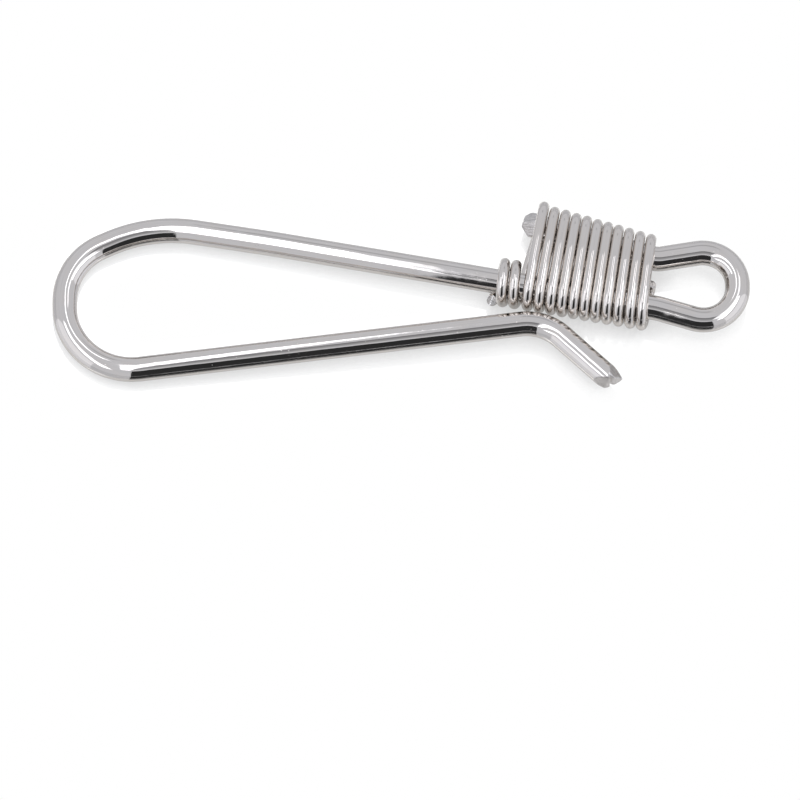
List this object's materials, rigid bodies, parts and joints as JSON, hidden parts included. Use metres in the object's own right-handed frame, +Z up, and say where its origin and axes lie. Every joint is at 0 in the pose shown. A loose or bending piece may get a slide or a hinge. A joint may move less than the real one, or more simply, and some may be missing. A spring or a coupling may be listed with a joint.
{
  "type": "wire spring hook clip",
  "caption": "Bent spring-wire clip: an eye bound with thin wire, a long round bow, and a sprung latch arm with an angled thumb tail that closes against the binding.",
  "frame": {"origin": "on the resting plane, under the middle of the outline seen from above", "axes": "+X from the bow to the eye, +Y from the latch arm to the shank, +Z up from the resting plane, across the flat hook"},
  "size_m": [0.0756, 0.0218, 0.0053],
  "materials": {
    "spring_wire_nickel": "bright nickel plate on drawn spring wire, fine draw lines, mirror-like",
    "binding_wire_nickel": "bright nickel plate on thin binding wire, slightly warmer and softer between the turns"
  },
  "bodies": {
    "hook": {"short_leg": "spring_wire_nickel", "eye_loop": "spring_wire_nickel", "shank": "spring_wire_nickel", "bow_shank_side": "spring_wire_nickel", "binding_wire": "binding_wire_nickel"},
    "latch": {"bow_latch_side": "spring_wire_nickel", "latch_arm": "spring_wire_nickel", "thumb_tail": "spring_wire_nickel"}
  },
  "joints": [
    {"name": "latch_flex", "type": "hinge", "parent": "hook", "child": "latch", "pos_m": [-0.03645, -0.00071, 0.00264], "axis": [0, 0, -1], "range_deg": [0, 9], "stiffness_Nm_per_rad": 8, "springref_deg": -1.15}
  ]
}
